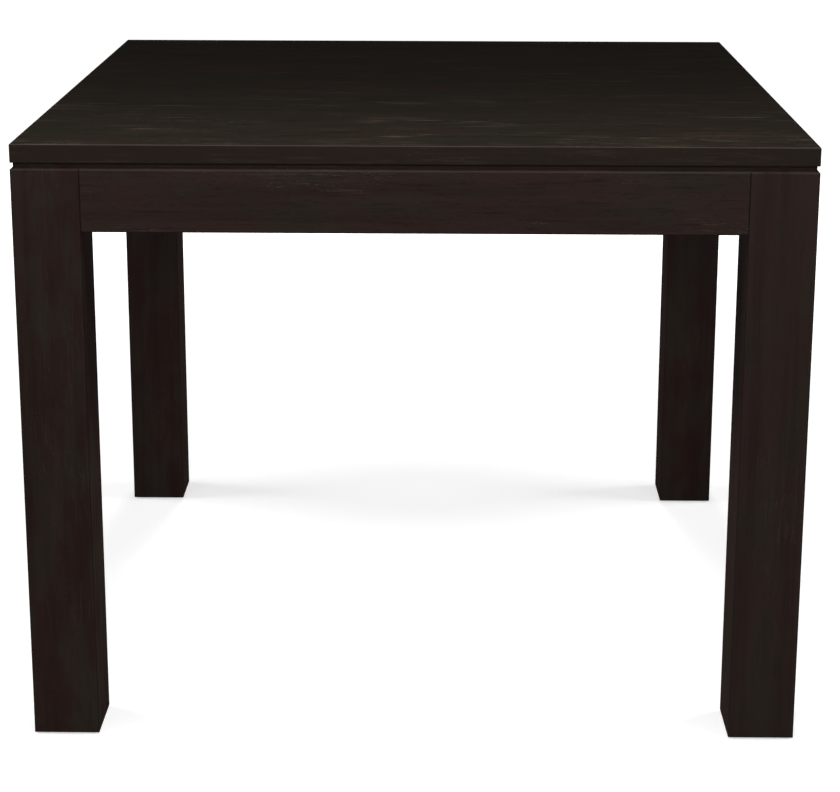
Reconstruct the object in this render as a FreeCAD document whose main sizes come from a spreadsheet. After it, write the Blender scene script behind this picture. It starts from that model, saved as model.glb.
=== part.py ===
import FreeCAD, Part
import math
import os

import Sketcher
from FreeCAD import Placement, Rotation, Vector

# A square parsons dining table in solid wood, made to be taken apart.  Four square legs stand
# flush with the aprons and with the edges of the top, and a shadow groove runs under the top.
# Every apron is dowelled to its legs, and a corner block, locked in kerfs in two aprons, pulls
# the leg home with two hanger bolts.  Wooden buttons and one slotted bearer hold the top.
#
# Millimetres.  The origin is on the floor under the middle of the table, +Z is up, +X runs along
# the boards of the top, and -Y is the front.

doc = FreeCAD.newDocument("parsons_table")

# ---------------------------------------------------------------- driving dimensions

SIZES = [
    ("top_length", 965, "top, along X"),
    ("top_depth", 965, "top, along Y"),
    ("top_thickness", 23, "top"),
    ("table_height", 762, "floor to the upper face of the top"),
    ("board_count", 8, "boards glued edge to edge in the top"),
    ("top_ease", 1.5, "rounding on the outer edges of the top"),
    ("leg_width", 82.5, "side of a leg's square section"),
    ("leg_ease", 1.0, "rounding on a leg's edges"),
    ("apron_height", 84, "apron, under the top to its lower edge"),
    ("apron_thickness", 22, "apron"),
    ("apron_ease", 1.0, "rounding on an apron's lower edges"),
    ("groove_flat", 5.5, "height of the groove's upright floor"),
    ("groove_bevel", 2.5, "height of the bevel below that floor"),
    ("groove_depth", 3.5, "how far the groove goes in"),
    ("flat_setback", 20, "leg's inner corner cut back for the bolts"),
    ("dowel_diameter", 10, "dowel"),
    ("dowel_length", 40, "dowel"),
    ("dowel_rise", 20, "apron's lower edge to its lower dowel"),
    ("dowel_spacing", 36, "between two dowels of one joint"),
    ("dowel_fit", 0.1, "hole wider than its dowel"),
    ("dowel_room", 1, "hole deeper than its dowel, for glue"),
    ("block_thickness", 28, "corner block"),
    ("block_height", 68, "corner block"),
    ("block_rise", 6, "apron's lower edge to the block"),
    ("block_gap", 2, "leg to block, so that the bolts can pull"),
    ("block_ease", 3, "bevel on a block's front edges"),
    ("tongue_inset", 4, "block's back corner to its tongue"),
    ("tongue_width", 8, "tongue on a block's end"),
    ("tongue_length", 7, "how far the tongue goes into the apron"),
    ("tongue_fit", 0.2, "kerf past each side of the tongue"),
    ("block_screw_inset", 13.5, "block's front corner to its screws"),
    ("block_screw_seat", 8, "wood between screw head and apron"),
    ("block_screw_cover", 6, "wood left in front of a screw's tip"),
    ("block_screw_spacing", 40, "between two screws of one end"),
    ("bolt_diameter", 8, "hanger bolt"),
    ("bolt_bite", 38, "length of a hanger bolt in the leg"),
    ("bolt_tail", 4, "length of a hanger bolt past its nut"),
    ("bolt_spacing", 36, "between two hanger bolts of one leg"),
    ("bolt_clearance", 1, "block's hole wider than the bolt"),
    ("thread_fit", 0.1, "hole wider than the thread that bites in it"),
    ("washer_diameter", 22, "washer"),
    ("washer_thickness", 2, "washer"),
    ("nut_flats", 13, "nut, across its flats"),
    ("nut_height", 6.5, "nut"),
    ("screw_diameter", 4, "wood screws"),
    ("screw_head", 8, "wood screws, across the head"),
    ("screw_bite", 12, "length of a screw in the top"),
    ("screw_room", 1, "pilot hole deeper than its screw"),
    ("button_width", 36, "button, along the apron"),
    ("button_body", 24, "button, from the apron inwards"),
    ("button_height", 20, "button"),
    ("button_gap", 1, "button's body to the apron"),
    ("button_tongue", 8, "how far the button's tongue goes in"),
    ("button_ease", 3, "bevel on the button's front lower edge"),
    ("slot_drop", 12, "under the top to the apron's slot"),
    ("slot_height", 9, "apron's slot for a button"),
    ("slot_depth", 10, "apron's slot for a button"),
    ("slot_play", 4, "slot past each side of its button"),
    ("bearer_width", 45, "bearer under the middle of the top"),
    ("bearer_height", 32, "bearer"),
    ("bearer_tenon", 6, "how far the bearer's ends go in"),
    ("bearer_fit", 0.2, "seat past each side of the bearer"),
    ("bearer_ease", 2, "bevel on the bearer's lower edges"),
    ("counterbore_depth", 14, "pocket for a screw head in the bearer"),
    ("counterbore_play", 0.75, "pocket past each side of the head"),
    ("slide_length", 10, "travel of a screw in the bearer's slot"),
    ("glide_diameter", 25, "glide under a leg"),
    ("glide_height", 4.5, "glide"),
    ("glide_proud", 1.5, "how far a glide stands below its leg"),
    ("glide_fit", 0.15, "recess past each side of the glide"),
    ("nail_recess", 2, "depth of a glide's hollow for its nail"),
    ("nail_head", 8, "nail, across its head"),
    ("nail_head_height", 1.2, "nail"),
    ("nail_diameter", 2.8, "nail"),
    ("nail_length", 22, "nail, under its head"),
]

sheet = doc.addObject("Spreadsheet::Sheet", "sizes")
for row, (alias, value, meaning) in enumerate(SIZES, start=1):
    sheet.set(f"A{row}", meaning)
    sheet.set(f"B{row}", str(value))
    sheet.setAlias(f"B{row}", alias)
doc.recompute()

# ---------------------------------------------------------------- sizes that follow from them

HALF_LENGTH = "sizes.top_length / 2"
HALF_DEPTH = "sizes.top_depth / 2"
UNDER_TOP = "(sizes.table_height - sizes.top_thickness)"
APRON_BOTTOM = f"({UNDER_TOP} - sizes.apron_height)"
LEG_LENGTH = f"({UNDER_TOP} - sizes.glide_proud)"
APRON_ON_LEG = f"({LEG_LENGTH} - sizes.apron_height)"
BOARD_WIDTH = "(sizes.top_depth / sizes.board_count)"
FRONT_SPAN = "(sizes.top_length - 2 * sizes.leg_width)"
SIDE_SPAN = "(sizes.top_depth - 2 * sizes.leg_width)"
GROOVE_HEIGHT = "(sizes.groove_flat + sizes.groove_bevel)"

# Distances along x and y alike from the frame's outer corner to a point on the corner's diagonal.
LEG_FLAT = "(sizes.leg_width - sizes.flat_setback / 2)"
BLOCK_BACK = f"({LEG_FLAT} + sizes.block_gap / sqrt(2))"
BLOCK_FRONT = f"({BLOCK_BACK} + sizes.block_thickness / sqrt(2))"
NUT_SEAT = f"({BLOCK_FRONT} + sizes.washer_thickness / sqrt(2))"
BOLT_START = f"({LEG_FLAT} - sizes.bolt_bite / sqrt(2))"
BOLT_LENGTH = ("(sizes.bolt_bite + sizes.block_gap + sizes.block_thickness"
               " + sizes.washer_thickness + sizes.nut_height + sizes.bolt_tail)")

# Places along an apron, measured from the frame's outer corner.
BACK_CORNER = f"(2 * {BLOCK_BACK} - sizes.apron_thickness)"
FRONT_CORNER = f"(2 * {BLOCK_FRONT} - sizes.apron_thickness)"
TONGUE_START = f"({BACK_CORNER} + sizes.tongue_inset)"
TONGUE_END = f"({TONGUE_START} + sizes.tongue_width)"
BLOCK_SCREW = f"({FRONT_CORNER} - sizes.block_screw_inset)"
BLOCK_SCREW_BITE = "(sizes.apron_thickness - sizes.block_screw_cover)"

# Heights above an apron's lower edge.
BLOCK_MIDDLE = "(sizes.block_rise + sizes.block_height / 2)"
BOLT_HEIGHTS = [f"({BLOCK_MIDDLE} - sizes.bolt_spacing / 2)",
                f"({BLOCK_MIDDLE} + sizes.bolt_spacing / 2)"]
BLOCK_SCREW_HEIGHTS = [f"({BLOCK_MIDDLE} - sizes.block_screw_spacing / 2)",
                       f"({BLOCK_MIDDLE} + sizes.block_screw_spacing / 2)"]
DOWEL_HEIGHTS = ["sizes.dowel_rise", "(sizes.dowel_rise + sizes.dowel_spacing)"]

# Distance from the frame's outer face in to the screw of a button.
BUTTON_SCREW = "(sizes.apron_thickness + sizes.button_gap + sizes.button_body / 2)"
BEARER_SCREW_WOOD = "(sizes.bearer_height - sizes.counterbore_depth)"

CORNERS = [("front_left", 0), ("front_right", 90), ("back_right", 180), ("back_left", 270)]
SIDES = [("front", 0, FRONT_SPAN), ("right", 90, SIDE_SPAN),
         ("back", 180, FRONT_SPAN), ("left", 270, SIDE_SPAN)]
BOARDS = int(sheet.board_count)

# ---------------------------------------------------------------- ways of working


def new_body(name):
    body = doc.addObject("PartDesign::Body", name)
    body.Label = name
    return body


def place(item, point, turn):
    """Stand an item at a point, given as three expressions, turned about Z."""
    item.Placement = Placement(Vector(0, 0, 0), Rotation(Vector(0, 0, 1), turn))
    for axis, distance in zip("xyz", point):
        item.setExpression(f"Placement.Base.{axis}", distance)


def from_corner(turn, along, inward):
    """A point of the corner with this turn: along one apron and inward from its outer face."""
    return {
        0: (f"{along} - {HALF_LENGTH}", f"{inward} - {HALF_DEPTH}"),
        90: (f"{HALF_LENGTH} - {inward}", f"{along} - {HALF_DEPTH}"),
        180: (f"{HALF_LENGTH} - {along}", f"{HALF_DEPTH} - {inward}"),
        270: (f"{inward} - {HALF_LENGTH}", f"{HALF_DEPTH} - {along}"),
    }[turn]


def from_side(turn, along, inward):
    """A point of the side with this turn: along from its middle and inward from its face."""
    return {
        0: (along, f"{inward} - {HALF_DEPTH}"),
        90: (f"{HALF_LENGTH} - {inward}", along),
        180: (f"-({along})", f"{HALF_DEPTH} - {inward}"),
        270: (f"{inward} - {HALF_LENGTH}", f"-({along})"),
    }[turn]


def sketch_on(body, name, role, height="0"):
    """A sketch on one of the body's own planes, or parallel to it at a height along its normal."""
    sketch = body.newObject("Sketcher::SketchObject", name)
    plane = [feature for feature in body.Origin.OriginFeatures if feature.Role == role][0]
    sketch.AttachmentSupport = [(plane, "")]
    sketch.MapMode = "FlatFace"
    sketch.setExpression("AttachmentOffset.Base.z", height)
    return sketch


def sketch_across_corner(body, name, distance):
    """An upright sketch square to the corner's diagonal that looks into the room."""
    sketch = sketch_on(body, name, "XZ_Plane", f"-{distance}")
    sketch.AttachmentOffset = Placement(Vector(0, 0, 0), Rotation(Vector(0, 1, 0), 135))
    sketch.setExpression("AttachmentOffset.Base.x", distance)
    return sketch


def measure(expression):
    """What an expression of the sheet's sizes comes to now, in millimetres."""
    return float(sheet.evalExpression(expression))


def spot(point):
    return Vector(measure(point[0]), measure(point[1]), 0)


def drive(sketch, kind, geometry, expression):
    """A dimension that starts at its true value and follows its expression."""
    number = sketch.addConstraint(Sketcher.Constraint(kind, *geometry, measure(expression)))
    sketch.setExpression(f"Constraints[{number}]", expression)


def pin_point(sketch, curve, end, point):
    """Hold one point of a curve at two expressions from the sketch's origin."""
    drive(sketch, "DistanceX", (-1, 1, curve, end), point[0])
    drive(sketch, "DistanceY", (-1, 1, curve, end), point[1])


def draw_outline(sketch, corners):
    """A closed outline of straight sides through corners given as pairs of expressions."""
    sides = [sketch.addGeometry(Part.LineSegment(spot(corner), spot(following)))
             for corner, following in zip(corners, corners[1:] + corners[:1])]
    for side, following in zip(sides, sides[1:] + sides[:1]):
        sketch.addConstraint(Sketcher.Constraint("Coincident", side, 2, following, 1))
    for side, corner in zip(sides, corners):
        pin_point(sketch, side, 1, corner)


def draw_circles(sketch, centres, diameter):
    for centre in centres:
        circle = Part.Circle(spot(centre), Vector(0, 0, 1), measure(diameter) / 2)
        number = sketch.addGeometry(circle)
        drive(sketch, "Diameter", (number,), diameter)
        pin_point(sketch, number, 3, centre)


def draw_slots(sketch, centres, travel, width):
    """Round-ended slots that run along the sketch's upright axis."""
    for across, up in centres:
        ends = [(across, f"{up} + {travel} / 2"), (across, f"{up} - {travel} / 2")]
        side = Vector(measure(width) / 2, 0, 0)
        upper, lower = [Part.Circle(spot(end), Vector(0, 0, 1), side.x) for end in ends]
        top = sketch.addGeometry(Part.ArcOfCircle(upper, 0, math.pi))
        bottom = sketch.addGeometry(Part.ArcOfCircle(lower, math.pi, 2 * math.pi))
        left = sketch.addGeometry(Part.LineSegment(upper.Center - side, lower.Center - side))
        right = sketch.addGeometry(Part.LineSegment(lower.Center + side, upper.Center + side))
        for first, second in ((top, left), (left, bottom), (bottom, right), (right, top)):
            sketch.addConstraint(Sketcher.Constraint("Tangent", first, 2, second, 1))
        sketch.addConstraint(Sketcher.Constraint("Equal", top, bottom))
        drive(sketch, "Radius", (top,), f"{width} / 2")
        pin_point(sketch, top, 3, ends[0])
        pin_point(sketch, bottom, 3, ends[1])


def pad(body, name, sketch, length, midplane=False):
    feature = body.newObject("PartDesign::Pad", name)
    feature.Profile = sketch
    feature.setExpression("Length", length)
    feature.Midplane = midplane
    return feature


def pocket(body, name, sketch, depth=None, away=False):
    """Cut against the sketch's normal, or along it where away is set; no depth cuts through."""
    feature = body.newObject("PartDesign::Pocket", name)
    feature.Profile = sketch
    feature.Reversed = away
    if depth is None:
        feature.Type = "ThroughAll"
    else:
        feature.setExpression("Length", depth)
    return feature


def turned(body, name, outline):
    """A body turned about its own Z from half its outline, given as radius and height."""
    sketch = sketch_on(body, f"{name}_outline", "XZ_Plane")
    draw_outline(sketch, outline)
    feature = body.newObject("PartDesign::Revolution", name)
    feature.Profile = sketch
    feature.ReferenceAxis = (sketch, ["V_Axis"])
    feature.Angle = 360
    return feature


def finish_edges(body, kind, name, size, wanted):
    """Round or bevel the edges whose middle and direction are wanted."""
    doc.recompute()
    base = body.Tip
    names = []
    for number, edge in enumerate(base.Shape.Edges, start=1):
        along = edge.Vertexes[-1].Point - edge.Vertexes[0].Point
        if along.Length > 0 and wanted(edge.CenterOfMass, along.normalize()):
            names.append(f"Edge{number}")
    feature = body.newObject(f"PartDesign::{kind}", name)
    feature.Base = (base, names)
    feature.setExpression("Radius" if kind == "Fillet" else "Size", size)


def group(name, item, places):
    """Identical pieces in one node: each place is a point and a rotation."""
    links = []
    for point, rotation in places:
        link = doc.addObject("App::Link", f"{name}_link")
        link.LinkedObject = item
        link.Placement = Placement(Vector(0, 0, 0), rotation)
        for axis, distance in zip("xyz", point):
            link.setExpression(f"Placement.Base.{axis}", distance)
        links.append(link)
    compound = doc.addObject("Part::Compound", name)
    compound.Label = name
    compound.Links = links
    return compound


def about_z(angle):
    return Rotation(Vector(0, 0, 1), angle)


LYING = Rotation(Vector(0, 1, 0), 90)
NODES = []

# ---------------------------------------------------------------- top


def make_board(number):
    """One board of the top, with its origin at the middle of its lower face.

    A screw of the bearer bites in every board but the first and last, which the buttons of the
    front and back aprons hold.  The buttons of the side aprons bite in the third board from
    the front and the third from the back.
    """
    body = new_body(f"top_board_{number}")
    half_length = HALF_LENGTH
    half_width = f"{BOARD_WIDTH} / 2"
    outline = sketch_on(body, "board_outline", "XY_Plane")
    draw_outline(outline, [(f"-{half_length}", f"-{half_width}"), (half_length, f"-{half_width}"),
                           (half_length, half_width), (f"-{half_length}", half_width)])
    pad(body, "board", outline, "sizes.top_thickness")

    first = number == 1
    last = number == BOARDS
    end = sheet.top_length / 2
    edge = sheet.top_depth / sheet.board_count / 2

    def on_outside(middle, along):
        at_end = abs(abs(middle.x) - end) < 1e-6
        at_front = first and abs(middle.y + edge) < 1e-6
        at_back = last and abs(middle.y - edge) < 1e-6
        if abs(along.z) > 0.5:
            return at_front or at_back
        return at_end or at_front or at_back

    finish_edges(body, "Fillet", "eased_edges", "sizes.top_ease", on_outside)

    holes = []
    if not (first or last):
        holes.append(("0", "0"))
    if first or last:
        inward = f"({half_width} - {BUTTON_SCREW})"
        across = f"-{inward}" if first else inward
        holes += [(f"{side}{FRONT_SPAN} / 4", across) for side in ("-", "")]
    if number in (3, BOARDS - 2):
        holes += [(f"{side}({HALF_LENGTH} - {BUTTON_SCREW})", "0") for side in ("-", "")]
    pilot = sketch_on(body, "pilot_holes", "XY_Plane")
    draw_circles(pilot, holes, "sizes.screw_diameter + sizes.thread_fit")
    pocket(body, "pilots", pilot, "sizes.screw_bite + sizes.screw_room", away=True)

    place(body, ("0", f"{BOARD_WIDTH} * {number - 0.5} - {HALF_DEPTH}", UNDER_TOP), 0)
    NODES.append(body)


for board_number in range(1, BOARDS + 1):
    make_board(board_number)

# ---------------------------------------------------------------- legs


def make_leg(corner, turn):
    """One leg, with its origin at the foot of its outer edge and its two show faces on x=0, y=0."""
    body = new_body(f"leg_{corner}")
    section = sketch_on(body, "section", "XY_Plane")
    draw_outline(section, [("0", "0"), ("sizes.leg_width", "0"),
                           ("sizes.leg_width", "sizes.leg_width"), ("0", "sizes.leg_width")])
    pad(body, "post", section, LEG_LENGTH)
    finish_edges(body, "Fillet", "eased_edges", "sizes.leg_ease",
                 lambda middle, along: abs(along.z) > 0.5 or middle.z < 1e-6)

    # The groove under the top goes round both show faces.
    groove = [("0", LEG_LENGTH), ("sizes.groove_depth", LEG_LENGTH),
              ("sizes.groove_depth", f"{LEG_LENGTH} - sizes.groove_flat"),
              ("0", f"{LEG_LENGTH} - {GROOVE_HEIGHT}")]
    for face, role, away in (("front", "YZ_Plane", True), ("side", "XZ_Plane", False)):
        profile = sketch_on(body, f"{face}_groove_profile", role)
        draw_outline(profile, groove)
        pocket(body, f"{face}_groove", profile, away=away)

    # The inner corner is cut flat down to the aprons' lower edges, and the bolts bite there.
    corner_cut = sketch_on(body, "flat_outline", "XY_Plane", LEG_LENGTH)
    draw_outline(corner_cut, [("sizes.leg_width", "sizes.leg_width - sizes.flat_setback"),
                              ("sizes.leg_width", "sizes.leg_width"),
                              ("sizes.leg_width - sizes.flat_setback", "sizes.leg_width")])
    pocket(body, "bolt_flat", corner_cut, "sizes.apron_height")
    bolts = sketch_across_corner(body, "bolt_pilots", LEG_FLAT)
    draw_circles(bolts, [("0", f"{APRON_ON_LEG} + {height}") for height in BOLT_HEIGHTS],
                 "sizes.bolt_diameter + sizes.thread_fit")
    pocket(body, "bolt_holes", bolts, "sizes.bolt_bite + sizes.screw_room")

    # Half of each dowel is in the leg, in the middle of the apron's thickness.
    heights = [f"{APRON_ON_LEG} + {height}" for height in DOWEL_HEIGHTS]
    depth = "sizes.dowel_length / 2 + sizes.dowel_room"
    for face, role, level, away in (("front", "YZ_Plane", "sizes.leg_width", False),
                                    ("side", "XZ_Plane", "-sizes.leg_width", True)):
        dowels = sketch_on(body, f"{face}_dowel_centres", role, level)
        draw_circles(dowels, [("sizes.apron_thickness / 2", height) for height in heights],
                     "sizes.dowel_diameter + sizes.dowel_fit")
        pocket(body, f"{face}_dowel_holes", dowels, depth, away=away)

    # The glide sits in a round recess, and its nail goes on into the leg.
    middle = [("sizes.leg_width / 2", "sizes.leg_width / 2")]
    recess = sketch_on(body, "glide_outline", "XY_Plane")
    draw_circles(recess, middle, "sizes.glide_diameter + 2 * sizes.glide_fit")
    pocket(body, "glide_recess", recess, "sizes.glide_height - sizes.glide_proud", away=True)
    nail = sketch_on(body, "nail_outline", "XY_Plane")
    draw_circles(nail, middle, "sizes.nail_diameter + sizes.thread_fit")
    pocket(body, "nail_hole", nail, away=True,
           depth="sizes.nail_recess + sizes.nail_length - sizes.glide_proud + sizes.screw_room")

    place(body, from_corner(turn, "0", "0") + ("sizes.glide_proud",), turn)
    NODES.append(body)


for corner_name, corner_turn in CORNERS:
    make_leg(corner_name, corner_turn)

# ---------------------------------------------------------------- aprons


def button_place(side, sign):
    """Along an apron from its middle to one of its two buttons.

    At the front and back they stand at the quarters of the apron.  At the sides they stand
    under the middle of the third board from each end.
    """
    if side in ("front", "back"):
        return f"{sign}{FRONT_SPAN} / 4"
    return f"{sign}({HALF_DEPTH} - 2.5 * {BOARD_WIDTH})"


def make_apron(side, turn, span):
    """One apron, with its origin on its lower outer edge at mid-length, x along it, y inwards."""
    body = new_body(f"apron_{side}")
    to_corner = HALF_LENGTH if span == FRONT_SPAN else HALF_DEPTH
    section = sketch_on(body, "section", "YZ_Plane")
    draw_outline(section, [("0", "0"), ("sizes.apron_thickness", "0"),
                           ("sizes.apron_thickness", "sizes.apron_height"),
                           ("sizes.groove_depth", "sizes.apron_height"),
                           ("sizes.groove_depth", "sizes.apron_height - sizes.groove_flat"),
                           ("0", f"sizes.apron_height - {GROOVE_HEIGHT}")])
    pad(body, "rail", section, span, midplane=True)
    finish_edges(body, "Fillet", "eased_edges", "sizes.apron_ease",
                 lambda middle, along: abs(along.x) > 0.5 and middle.z < 1e-6)

    for end, level, away in (("left", f"-{span} / 2", True), ("right", f"{span} / 2", False)):
        dowels = sketch_on(body, f"{end}_dowel_centres", "YZ_Plane", level)
        draw_circles(dowels, [("sizes.apron_thickness / 2", height) for height in DOWEL_HEIGHTS],
                     "sizes.dowel_diameter + sizes.dowel_fit")
        pocket(body, f"{end}_dowel_holes", dowels,
               "sizes.dowel_length / 2 + sizes.dowel_room", away=away)

    # Kerfs, screw pilots, button slots and the bearer's seat are cut from the inner face.
    inner_face = "-sizes.apron_thickness"
    kerfs = sketch_on(body, "kerf_outline", "XZ_Plane", inner_face)
    screws = sketch_on(body, "screw_centres", "XZ_Plane", inner_face)
    slots = sketch_on(body, "slot_outline", "XZ_Plane", inner_face)
    slot_top = "sizes.apron_height - sizes.slot_drop"
    for sign in ("-", ""):
        near = f"{sign}({to_corner} - {TONGUE_END} - sizes.tongue_fit)"
        far = f"{sign}({to_corner} - {TONGUE_START} + sizes.tongue_fit)"
        draw_outline(kerfs, [(near, "0"), (far, "0"),
                             (far, "sizes.apron_height"), (near, "sizes.apron_height")])
        draw_circles(screws, [(f"{sign}({to_corner} - {BLOCK_SCREW})", height)
                              for height in BLOCK_SCREW_HEIGHTS],
                     "sizes.screw_diameter + sizes.thread_fit")
        middle = button_place(side, sign)
        low = f"{middle} - sizes.button_width / 2 - sizes.slot_play"
        high = f"{middle} + sizes.button_width / 2 + sizes.slot_play"
        draw_outline(slots, [(low, f"{slot_top} - sizes.slot_height"),
                             (high, f"{slot_top} - sizes.slot_height"),
                             (high, slot_top), (low, slot_top)])
    pocket(body, "kerfs", kerfs, "sizes.tongue_length + sizes.screw_room", away=True)
    pocket(body, "screw_pilots", screws, f"{BLOCK_SCREW_BITE} + sizes.screw_room", away=True)
    pocket(body, "button_slots", slots, "sizes.slot_depth", away=True)
    if span == FRONT_SPAN:
        seat = sketch_on(body, "seat_outline", "XZ_Plane", inner_face)
        half = "(sizes.bearer_width / 2 + sizes.bearer_fit)"
        draw_outline(seat, [(f"-{half}", "sizes.apron_height - sizes.bearer_height"),
                            (half, "sizes.apron_height - sizes.bearer_height"),
                            (half, "sizes.apron_height"), (f"-{half}", "sizes.apron_height")])
        pocket(body, "bearer_seat", seat, "sizes.bearer_tenon + sizes.bearer_fit", away=True)

    place(body, from_side(turn, "0", "0") + (APRON_BOTTOM,), turn)
    NODES.append(body)


for side_name, side_turn, side_span in SIDES:
    make_apron(side_name, side_turn, side_span)

dowel = new_body("dowel")
DOWEL_RADIUS = "sizes.dowel_diameter / 2"
turned(dowel, "dowel_pin", [("0", "-sizes.dowel_length / 2"),
                            (f"{DOWEL_RADIUS} - sizes.dowel_room", "-sizes.dowel_length / 2"),
                            (DOWEL_RADIUS, "-sizes.dowel_length / 2 + sizes.dowel_room"),
                            (DOWEL_RADIUS, "sizes.dowel_length / 2 - sizes.dowel_room"),
                            (f"{DOWEL_RADIUS} - sizes.dowel_room", "sizes.dowel_length / 2"),
                            ("0", "sizes.dowel_length / 2")])
NODES.append(group("apron_dowels", dowel, [
    (from_side(turn, f"{sign}{span} / 2", "sizes.apron_thickness / 2")
     + (f"{APRON_BOTTOM} + {height}",), about_z(turn) * LYING)
    for side, turn, span in SIDES for sign in ("-", "") for height in DOWEL_HEIGHTS]))

# ---------------------------------------------------------------- corner blocks and their fasteners


def make_corner_block(corner, turn):
    """One corner block, drawn in plan from the frame's outer corner, mirrored on the diagonal."""
    body = new_body(f"corner_block_{corner}")
    inner = "sizes.apron_thickness"
    tip = "(sizes.apron_thickness - sizes.tongue_length)"
    half_plan = [(BACK_CORNER, inner), (TONGUE_START, inner), (TONGUE_START, tip),
                 (TONGUE_END, tip), (TONGUE_END, inner), (FRONT_CORNER, inner)]
    plan = sketch_on(body, "plan", "XY_Plane")
    draw_outline(plan, half_plan + [(inward, along) for along, inward in reversed(half_plan)])
    pad(body, "block", plan, "sizes.block_height")
    between_faces = measure(f"({BLOCK_BACK} + {BLOCK_FRONT})")
    finish_edges(body, "Chamfer", "front_bevels", "sizes.block_ease",
                 lambda middle, along: (abs(along.x) > 0.5 and abs(along.y) > 0.5
                                        and middle.x + middle.y > between_faces))

    bolts = sketch_across_corner(body, "bolt_centres", BLOCK_FRONT)
    draw_circles(bolts, [("0", f"{height} - sizes.block_rise") for height in BOLT_HEIGHTS],
                 "sizes.bolt_diameter + sizes.bolt_clearance")
    pocket(body, "bolt_holes", bolts)

    # Each end has two screws, whose heads sit in pockets bored square to the apron.
    places = [(BLOCK_SCREW, f"{height} - sizes.block_rise") for height in BLOCK_SCREW_HEIGHTS]
    for end, role, sign, away in (("front", "XZ_Plane", "-", False),
                                  ("side", "YZ_Plane", "", True)):
        shanks = sketch_on(body, f"{end}_shank_centres", role, f"{sign}{inner}")
        draw_circles(shanks, places, "sizes.screw_diameter + sizes.bolt_clearance / 2")
        pocket(body, f"{end}_shank_holes", shanks, away=away)
        heads = sketch_on(body, f"{end}_head_centres", role,
                          f"{sign}({inner} + sizes.block_screw_seat)")
        draw_circles(heads, places, "sizes.screw_head + sizes.bolt_clearance")
        pocket(body, f"{end}_head_pockets", heads, away=away)

    place(body, from_corner(turn, "0", "0") + (f"{APRON_BOTTOM} + sizes.block_rise",), turn)
    NODES.append(body)


for corner_name, corner_turn in CORNERS:
    make_corner_block(corner_name, corner_turn)


def bolt_places(distance):
    """Where the eight hanger bolts cross a plane at this distance on the corner's diagonal."""
    return [(from_corner(turn, distance, distance) + (f"{APRON_BOTTOM} + {height}",),
             about_z(turn + 45) * LYING)
            for corner, turn in CORNERS for height in BOLT_HEIGHTS]


hanger_bolt = new_body("hanger_bolt")
BOLT_RADIUS = "sizes.bolt_diameter / 2"
turned(hanger_bolt, "bolt_shank", [("0", "0"), (f"{BOLT_RADIUS} / 4", "0"),
                                   (BOLT_RADIUS, "sizes.bolt_diameter"),
                                   (BOLT_RADIUS, f"{BOLT_LENGTH} - {BOLT_RADIUS} / 4"),
                                   (f"{BOLT_RADIUS} * 3 / 4", BOLT_LENGTH), ("0", BOLT_LENGTH)])
NODES.append(group("hanger_bolts", hanger_bolt, bolt_places(BOLT_START)))

BOLT_HOLE = "(sizes.bolt_diameter + sizes.thread_fit) / 2"
washer = new_body("washer")
turned(washer, "washer_ring", [(BOLT_HOLE, "0"), ("sizes.washer_diameter / 2", "0"),
                               ("sizes.washer_diameter / 2", "sizes.washer_thickness"),
                               (BOLT_HOLE, "sizes.washer_thickness")])
NODES.append(group("bolt_washers", washer, bolt_places(BLOCK_FRONT)))

nut = new_body("nut")
nut_outline = sketch_on(nut, "nut_outline", "XY_Plane")
NUT_CORNER = "sizes.nut_flats / sqrt(3)"
draw_outline(nut_outline, [(f"{NUT_CORNER} * cos({60 * point} deg)",
                            f"{NUT_CORNER} * sin({60 * point} deg)") for point in range(6)])
pad(nut, "nut_hexagon", nut_outline, "sizes.nut_height")
thread = sketch_on(nut, "thread_outline", "XY_Plane")
draw_circles(thread, [("0", "0")], f"2 * {BOLT_HOLE}")
pocket(nut, "nut_thread", thread, away=True)
NODES.append(group("bolt_nuts", nut, bolt_places(NUT_SEAT)))

SCREW_RADIUS = "sizes.screw_diameter / 2"
SCREW_HEAD_RADIUS = "sizes.screw_head / 2"


def make_screw(name, length):
    """A pan-head wood screw that points up its own Z, measured from the seat of its head."""
    body = new_body(name)
    turned(body, "screw_shank", [("0", f"-{SCREW_RADIUS}"), (SCREW_RADIUS, f"-{SCREW_RADIUS}"),
                                 (SCREW_HEAD_RADIUS, f"-{SCREW_RADIUS} / 2"),
                                 (SCREW_HEAD_RADIUS, "0"), (SCREW_RADIUS, "0"),
                                 (SCREW_RADIUS, f"{length} - sizes.screw_diameter"),
                                 ("0", length)])
    return body


block_screw = make_screw("block_screw", f"(sizes.block_screw_seat + {BLOCK_SCREW_BITE})")
HEAD_SEAT = "(sizes.apron_thickness + sizes.block_screw_seat)"
block_screw_places = []
for corner_name, corner_turn in CORNERS:
    for screw_height in BLOCK_SCREW_HEIGHTS:
        level = (f"{APRON_BOTTOM} + {screw_height}",)
        block_screw_places += [
            (from_corner(corner_turn, BLOCK_SCREW, HEAD_SEAT) + level,
             about_z(corner_turn - 90) * LYING),
            (from_corner(corner_turn, HEAD_SEAT, BLOCK_SCREW) + level,
             about_z(corner_turn + 180) * LYING)]
NODES.append(group("corner_block_screws", block_screw, block_screw_places))

# ---------------------------------------------------------------- buttons that hold the top


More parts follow.
